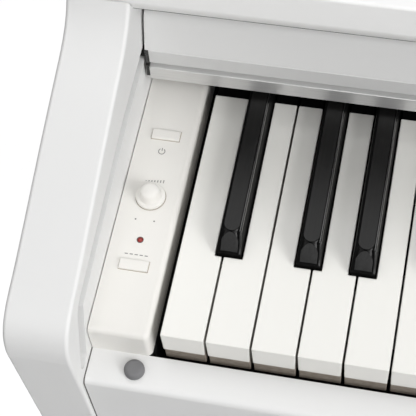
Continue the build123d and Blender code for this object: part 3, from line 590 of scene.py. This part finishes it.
def add_plate(mesh_builder, rows, drop, material, edge_material):
    """Closed plate with the rows of points as its upper face and an underside a drop below, in mm."""
    sink = Vector((0, 0, drop * MM))
    top = [[mesh_builder.verts.new(point) for point in row] for row in rows]
    low = [[mesh_builder.verts.new(point - sink) for point in row] for row in rows]
    last = len(rows[0]) - 1
    for i in range(len(rows) - 1):
        for k in range(last):
            upper = (top[i][k], top[i][k + 1], top[i + 1][k + 1], top[i + 1][k])
            under = (low[i + 1][k], low[i + 1][k + 1], low[i][k + 1], low[i][k])
            mesh_builder.faces.new(upper).material_index = material
            mesh_builder.faces.new(under).material_index = edge_material
        for k in (0, last):
            side = (top[i][k], top[i + 1][k], low[i + 1][k], low[i][k])
            mesh_builder.faces.new(side).material_index = edge_material
    for i in (0, len(rows) - 1):
        for k in range(last):
            end = (top[i][k], top[i][k + 1], low[i][k + 1], low[i][k])
            mesh_builder.faces.new(end).material_index = edge_material


def add_black_body(mesh_builder, point):
    """Body of a black key: sloping front, sunk middle, raised shoulders and sides that flare."""
    half, rear = BLACK_BASE / 2, BLACK_END - BLACK_FRONT
    stations = [(0.0, FACE_RISE), (SLOPE_FOOT, FACE_RISE + FOOT_RISE)]
    stations += [(y, slope_height(y)) for y in SLOPE_STATIONS]
    stations += [(y, BLACK_HEIGHT) for y in (*TOP_STATIONS, rear)]
    sections = []
    for depth, height in stations:
        keep = min(1.0, height / BLACK_HEIGHT)
        outer = half - (half - FLAT_HALF - LINE - SHOULDER[-1][0]) * keep
        start = outer - SHOULDER[-1][0]
        floor = height - LINE_DEPTH
        profile = [(start - LINE_LAP, floor)]
        profile += [(start + dx, height - SHOULDER_DROP - dz * keep) for dx, dz in SHOULDER]
        profile += [(half, 0.0), (half, BLACK_BOTTOM)]
        left_side = [point(-x, depth, z) for x, z in reversed(profile)]
        sections.append(left_side + [point(x, depth, z) for x, z in profile])
    grid = [[mesh_builder.verts.new(corner) for corner in section] for section in sections]
    count = len(grid[0])
    # a section ends with the right shoulder's points and then the side's two
    right_shoulder = range(count - 2 - len(SHOULDER), count - 3)
    for (depth, _), front, behind in zip(stations, grid, grid[1:]):
        # the right shoulder takes the glossy copies, a painted highlight; the left shoulder and the sides
        # take the shaded copy, painted shade
        shoulder_slot = LIT_SHOULDER_SLOT if depth > ARCH_TIP else LIT_FRONT_SHOULDER_SLOT
        for k in range(count):
            n = (k + 1) % count
            face = mesh_builder.faces.new((front[k], front[n], behind[n], behind[k]))
            face.material_index = shoulder_slot if k in right_shoulder else SHADED_SLOT
    mesh_builder.faces.new(grid[0]).material_index = SHADED_SLOT
    mesh_builder.faces.new(grid[-1]).material_index = SHADED_SLOT


def add_black_key(mesh_builder, middle):
    """Black key: flat top with a round end, arched sloping front, two facets, and the body below."""
    rear = BLACK_END - BLACK_FRONT

    def point(x, y, z):
        return at(middle + x, BLACK_FRONT + y, z)

    shares = [math.sin(math.pi * (k / KEY_STEPS - 0.5)) for k in range(KEY_STEPS + 1)]
    front = [point(FLAT_HALF * u, flat_end(u), BLACK_HEIGHT) for u in shares]
    back = [point(FLAT_HALF * u, rear, BLACK_HEIGHT) for u in shares]
    add_plate(mesh_builder, [front, back], PLATE_DROP, TOP_SLOT, SHADED_SLOT)
    rows = []
    for share in SLOPE_SHARES:
        row = []
        sink = FOOT_SINK if share == 0 else 0.0
        for u in shares:
            depth = SLOPE_FOOT + share * (arch(u) - SLOPE_FOOT)
            crown = SLOPE_CROWN * (1 - u**4)
            row.append(point(SLOPE_HALF * u, depth, slope_height(depth) + crown - sink))
        rows.append(row)
    # the sloping front takes the lighter black: painted light
    add_plate(mesh_builder, rows, PLATE_DROP, LIT_SLOPE_SLOT, SHADED_SLOT)
    for sign in (-1, 1):
        low_row, high_row = [], []
        for step in range(FACET_STEPS + 1):
            u = FACET_INNER + (1 - FACET_INNER) * step / FACET_STEPS
            x = sign * (FLAT_HALF + FACET_REACH) * u
            low_z = slope_height(arch(u)) + FACET_OFFSET
            low_row.append(point(x, arch(u) + FACET_MARGIN, low_z))
            high_row.append(point(x, flat_end(u) - FACET_MARGIN, BLACK_HEIGHT - FACET_OFFSET))
        add_plate(mesh_builder, [low_row, high_row], FACET_DROP, TOP_SLOT, SHADED_SLOT)
    add_black_body(mesh_builder, point)


def make_keys():
    """Every key: the nine lowest one by one, and the others in two groups."""
    # the white keys' tails and the black keys' sides take the shaded black, painted shade; the black keys'
    # slope and right shoulder take lit copies, painted light and highlight
    whites = (MATERIALS["white_keys"], KEY_BODY, BLACK_SHADED)
    blacks = (MATERIALS["black_keys"], BLACK_SHADED, BLACK_LIT_SLOPE, BLACK_LIT_SHOULDER, BLACK_LIT_FRONT_SHOULDER)
    for index, name in SINGLE_WHITES.items():
        builder = bmesh.new()
        add_white_key(builder, index)
        node = f"white_key_{name}"
        piece_from(builder, f"{node}_shape", node, whites, (node,), bevel=KEY_BEVEL)
    for index, name in SINGLE_BLACKS.items():
        builder = bmesh.new()
        add_black_key(builder, black_after(index))
        node = f"black_key_{name}"
        piece_from(builder, f"{node}_shape", node, blacks, (node,))
    builder = bmesh.new()
    for index in range(WHITE_COUNT):
        if index not in SINGLE_WHITES:
            add_white_key(builder, index)
    piece_from(
        builder,
        "other_white_keys_shape",
        "treble_white_keys",
        whites,
        ("other_white_keys",),
        bevel=KEY_BEVEL,
    )
    builder = bmesh.new()
    for index in range(WHITE_COUNT):
        if index not in SINGLE_BLACKS and black_after(index) is not None:
            add_black_key(builder, black_after(index))
    piece_from(
        builder,
        "other_black_keys_shape",
        "treble_black_keys",
        blacks,
        ("other_black_keys",),
    )


# ------------------------------------------------------------------ key cover lip
LIP_PROFILE = (
    (156.5, 37.5),
    (146.4, 37.5),
    (146.0, 27.6),
    (147.8, 26.9),
    (147.8, 25.7),
    (144.2, 25.4),
    (143.6, 16.0),
    (153.5, 16.0),
)
# the satin strip covers the sides that start at these points of the profile
LIP_STRIP_SIDES = (4, 5, 6)
# dark felt seal in each end gap of the lip, standing in for the deep shade there: painted shade
SHADE_SEAL_PROFILE = ((154.0, 37.0), (146.6, 37.0), (146.4, 26.2), (145.2, 25.8), (144.6, 17.0), (153.0, 17.0))
END_SPACE = 37.5
WALLS = (-END_SPACE, KEY_PITCH * WHITE_COUNT + END_SPACE)
LIP_GAP = 3.4
LIP_BEVEL = 0.4
SHADE_SEAL_GAP = 1.2
SHADE_SEAL_BEVEL = 0.3


def add_bar(mesh_builder, profile, left, right, second=()):
    """Straight bar with a profile of (y, z); the sides listed in second take the second material."""
    rings = [[mesh_builder.verts.new(at(x, y, z)) for y, z in profile] for x in (left, right)]
    count = len(profile)
    for k in range(count):
        n = (k + 1) % count
        face = mesh_builder.faces.new((rings[0][k], rings[0][n], rings[1][n], rings[1][k]))
        face.material_index = 1 if k in second else 0
    mesh_builder.faces.new(rings[0])
    mesh_builder.faces.new(rings[1][::-1])


def make_cover_lip():
    """Front edge of the key cover: painted band, satin strip below it, and at each end a dark felt seal in
    the gap by the side panel, painted shade there.
    """
    left, right = WALLS
    builder = bmesh.new()
    add_bar(builder, LIP_PROFILE, left + LIP_GAP, right - LIP_GAP, LIP_STRIP_SIDES)
    piece_from(
        builder,
        "key_cover_lip_shape",
        "key_cover",
        (MATERIALS["cover_lip"], LIP_STRIP),
        ("key_cover_lip",),
        bevel=LIP_BEVEL,
    )
    builder = bmesh.new()
    add_bar(builder, SHADE_SEAL_PROFILE, left + SHADE_SEAL_GAP, left + LIP_GAP)
    add_bar(builder, SHADE_SEAL_PROFILE, right - LIP_GAP, right - SHADE_SEAL_GAP)
    # black felt seals: painted shade in the end gaps
    felt = (MATERIALS["felt"],)
    piece_from(builder, "key_cover_end_shade_seals", "key_cover", felt, bevel=SHADE_SEAL_BEVEL)


# ------------------------------------------------------------------ rail trim
TRIM_PROFILE = ((141.0, 86.4), (141.0, 85.2), (143.1, 78.4), (143.6, 77.9), (148.0, 77.9), (143.6, 84.0))
TRIM_BEVEL = 0.3
# dark felt strip under the rail's front edge: a painted shadow line
SHADE_WIPER_PROFILE = ((144.0, 77.9), (144.0, 76.7), (149.0, 76.7), (149.0, 77.9))
SHADE_WIPER_BEVEL = 0.2
WALL_CLEARANCE = 0.1


def make_rail_trim():
    """Bevelled lower edge of the top rail between the side panels, in the lighter top paint (painted
    light), with a dark felt under it as a painted shadow line.
    """
    left, right = WALLS[0] + WALL_CLEARANCE, WALLS[1] - WALL_CLEARANCE
    builder = bmesh.new()
    add_bar(builder, TRIM_PROFILE, left, right)
    piece_from(builder, "top_rail_trim", "root", (TOP_LIT_PAINT,), bevel=TRIM_BEVEL)
    # the dark felt gives the painted shadow line under the rail
    builder = bmesh.new()
    add_bar(builder, SHADE_WIPER_PROFILE, left, right)
    piece_from(builder, "top_rail_shade_felt", "root", (MATERIALS["felt"],), bevel=SHADE_WIPER_BEVEL)


# ------------------------------------------------------------------ keyslip seams, in painted shade
# end of the keyslip, in (y, z)
SLIP_REAR = -3.2
SLIP_CORNER = (-19.3, -25.5)
SLIP_CORNER_R = 3.56
SLIP_FOOT = ((-21.06, -97.5), (SLIP_REAR, -97.5))
SEAM_WIDTH = 0.7


def make_slip_seams():
    """Dark strips in the joints where the keyslip meets the side panels: painted shade of the narrow gaps
    there.
    """
    outline = [(SLIP_REAR, SLIP_CORNER[1] + SLIP_CORNER_R)]
    outline += ring_points(SLIP_CORNER, SLIP_CORNER_R, 90, 180, 6)
    outline += SLIP_FOOT
    left, right = WALLS
    builder = bmesh.new()
    add_bar(builder, outline, left, left + SEAM_WIDTH)
    add_bar(builder, outline, right - SEAM_WIDTH, right)
    piece_from(builder, "keyslip_seam_shade", "root", (SEAM_SHADE_GREY,))


# ------------------------------------------------------------------ controls
CONTROL_X = -21.4
PANEL_TOP = -0.5
PRINT_RISE = 0.05
PRINT_LINE = 0.42
WIDE_LINE = 0.5

KNOB_Y = 78.8
KNOB_STEPS = 64
KNOB_CAP = ((0, 8.0), (2.4, 7.97), (3.6, 7.8), (4.4, 7.35), (4.9, 6.6), (5.2, 5.6), (5.75, 3.0), (5.9, 2.1))
KNOB_SKIRT = ((6.15, 1.7), (6.6, 1.6), (7.3, 1.6), (7.8, 1.4), (8.0, 1.0), (8.0, 0.3), (7.5, 0.1), (0, 0.1))
# a dark ring printed round the knob's foot: painted gap shade
KNOB_GAP_SHADE_RADIUS = 8.1
KNOB_GAP_SHADE_LINE = 0.34

POWER_Y = 118.5
FUNCTION_Y = 37.1
BUTTON_SIZE = (15.6, 6.2)
BUTTON_TOP = 0.8
BUTTON_CROWN = 0.12
BUTTON_DEPTH = 8.0
BUTTON_GRID = (12, 6)
BUTTON_BEVEL = 0.5
BUTTON_BEVEL_ANGLE = math.radians(60)
BUTTON_GAP = 0.15
# widths of the painted gap shade along a button's shaded and lit sides
SHADOW_LINE = 0.36
LIT_LINE = 0.14

LED_Y = 52.4
LED_STEPS = 40
LENS_PROFILE = ((0, 0.15), (0.7, 0.08), (1.15, -0.12), (1.4, -0.5), (1.45, -1.6), (1.45, -4.0), (0, -4.0))
RIM_PROFILE = ((1.42, -0.5), (1.42, -0.36), (1.85, -0.42), (1.85, -0.5))

POWER_SIGN = (CONTROL_X - 0.3, 108.0)
POWER_SIGN_RADIUS = 1.75
# the arc's two ends in degrees, and its number of steps
POWER_SIGN_ARC = (125, 415, 28)
POWER_SIGN_STROKE = (0.3, 2.2)
BARS_LEFT = CONTROL_X - 4.8
BARS_PITCH = 1.6
BARS_COUNT = 7
BARS_FOOT = 88.3
BARS_TOP = 88.7
BARS_GROWTH = 0.24
LIMIT_DOTS = ((-26.6, 64.4), (-16.5, 64.5))
DOT_RADIUS = 0.42
DASHES_LEFT = CONTROL_X - 6.4
DASHES_PITCH = 2.7
DASHES_COUNT = 5
DASHES_Y = 43.4
DASH_LENGTH = 1.7


def add_line(mesh_builder, points, width):
    """Printed line of even width along points, on the panel's top."""
    edges = []
    for k, point in enumerate(points):
        before, after = points[max(k - 1, 0)], points[min(k + 1, len(points) - 1)]
        run = Vector((after[0] - before[0], after[1] - before[1])).normalized()
        across = Vector((-run.y, run.x)) * width / 2
        edges.append((Vector(point) + across, Vector(point) - across))
    rows = [[at(*edge[side], PANEL_TOP + PRINT_RISE) for edge in edges] for side in (0, 1)]
    add_plate(mesh_builder, rows, PRINT_RISE * 2, 0, 0)


def add_print(name, lines, width, material=PRINT):
    """Thin marking on the control panel, made of lines."""
    builder = bmesh.new()
    for points in lines:
        add_line(builder, points, width)
    piece_from(builder, name, "root", (material,))


def make_knob():
    """Volume knob: low skirt, waist and domed cap, with a dark ring printed round its foot as painted shade
    of its gap.
    """
    centre = (CONTROL_X, KNOB_Y)
    builder = bmesh.new()
    add_lathe(builder, centre, KNOB_CAP + KNOB_SKIRT, KNOB_STEPS)
    panel = (MATERIALS["panel"],)
    piece_from(builder, "volume_knob_shape", "volume_knob", panel, ("volume_knob",))
    gap = [ring_points(centre, KNOB_GAP_SHADE_RADIUS, 0, 360, 72)]
    add_print("knob_gap_painted_shadow", gap, KNOB_GAP_SHADE_LINE, GAP_SHADE_BROWN)


def make_button(node, middle):
    """Crowned button whose sides go down into the panel, with painted gap shade round it: a wide line on
    the shaded sides, a fine one on the lit sides.
    """
    builder = bmesh.new()
    width, length = BUTTON_SIZE
    across, along = BUTTON_GRID
    rows = []
    for j in range(along + 1):
        v = 2 * j / along - 1
        row = []
        for i in range(across + 1):
            u = 2 * i / across - 1
            height = BUTTON_TOP - BUTTON_CROWN + BUTTON_CROWN * (1 - u**4) * (1 - v**4)
            row.append(at(CONTROL_X + u * width / 2, middle + v * length / 2, height))
        rows.append(row)
    add_plate(builder, rows, BUTTON_DEPTH, 0, 0)
    panel = (MATERIALS["panel"],)
    piece = piece_from(builder, f"{node}_shape", node, panel, (node,), bevel=BUTTON_BEVEL)
    piece.modifiers["rounding"].angle_limit = BUTTON_BEVEL_ANGLE
    border = [(-1, -1), (1, -1), (1, 1), (-1, 1), (-1, -1)]
    half_x, half_y = width / 2 + BUTTON_GAP, length / 2 + BUTTON_GAP
    outline = [(CONTROL_X + x * half_x, middle + y * half_y) for x, y in border]
    sides = [[outline[k], outline[k + 1]] for k in range(4)]
    # painted shade: a wide line along the front and right sides, a fine one along the rear and left
    add_print(f"{node}_gap_painted_shadow", sides[:2], SHADOW_LINE, GAP_SHADE_BROWN)
    add_print(f"{node}_lit_side_gap_painted_shade", sides[2:], LIT_LINE, GAP_SHADE_BROWN)


def make_lamp():
    """Red lamp lens with a dark rim."""
    builder = bmesh.new()
    add_lathe(builder, (CONTROL_X, LED_Y), LENS_PROFILE, LED_STEPS)
    piece_from(builder, "power_led_lens", "root", (MATERIALS["lamp"],), ("power_led",))
    builder = bmesh.new()
    add_collar(builder, (CONTROL_X, LED_Y), RIM_PROFILE, LED_STEPS)
    piece_from(builder, "power_led_rim", "root", (LAMP_RIM,))


def make_marks():
    """Generic symbols: power sign, rising bars for the volume, dots at its limits, a row of dashes."""
    arc = ring_points(POWER_SIGN, POWER_SIGN_RADIUS, *POWER_SIGN_ARC)
    stroke = [(POWER_SIGN[0], POWER_SIGN[1] + y) for y in POWER_SIGN_STROKE]
    add_print("power_sign", [arc, stroke], PRINT_LINE)
    bars = []
    for step in range(BARS_COUNT):
        x = BARS_LEFT + step * BARS_PITCH
        bars.append([(x, BARS_FOOT), (x, BARS_TOP + BARS_GROWTH * step)])
    add_print("volume_sign", bars, WIDE_LINE)
    dots = [[(x - DOT_RADIUS, y), (x + DOT_RADIUS, y)] for x, y in LIMIT_DOTS]
    add_print("volume_limit_dots", dots, 2 * DOT_RADIUS)
    dashes = []
    for step in range(DASHES_COUNT):
        x = DASHES_LEFT + step * DASHES_PITCH
        dashes.append([(x, DASHES_Y), (x + DASH_LENGTH, DASHES_Y)])
    add_print("function_sign", dashes, WIDE_LINE)


def make_controls():
    """Everything on the control panel."""
    make_knob()
    make_button("power_button", POWER_Y)
    make_button("function_button", FUNCTION_Y)
    make_lamp()
    make_marks()


# ------------------------------------------------------------------ floor, in metres
FLOOR_REACH = 9.0
FLOOR_HEIGHT = -0.0005
FLOOR_GREY = (0.28, 0.28, 0.28)
FLOOR_GLOW = 0.84
RETURN_HEIGHT = -0.002
RETURN_GREY = (0.6, 0.6, 0.6)


def make_floor(name, height, material):
    """Plain square floor under the piano, at a height."""
    mesh = bpy.data.meshes.new(name)
    builder = bmesh.new()
    corners = ((-1, -1), (1, -1), (1, 1), (-1, 1))
    builder.faces.new([builder.verts.new((x * FLOOR_REACH, y * FLOOR_REACH, height)) for x, y in corners])
    builder.to_mesh(mesh)
    builder.free()
    mesh.materials.append(material)
    floor = bpy.data.objects.new(name, mesh)
    bpy.context.scene.collection.objects.link(floor)
    return floor


def make_stage():
    """Bright floor that is seen but lights nothing, over an unseen one that returns soft light."""
    seen = make_floor("floor", FLOOR_HEIGHT, floor_material("studio_floor", FLOOR_GREY, FLOOR_GLOW))
    seen.visible_diffuse = False
    seen.visible_glossy = False
    seen.visible_shadow = False
    return_material = floor_material("studio_floor_return", RETURN_GREY, 0.0)
    returning = make_floor("floor_return", RETURN_HEIGHT, return_material)
    returning.visible_camera = False


# ------------------------------------------------------------------ assembly
bpy.context.scene.view_settings.view_transform = "Standard"
add_camera()
add_world(WORLD_STRENGTH)
for light in LIGHTS:
    add_area_light(*light)
make_stage()
dress_frame()
make_keys()
make_cover_lip()
make_rail_trim()
make_slip_seams()
make_controls()
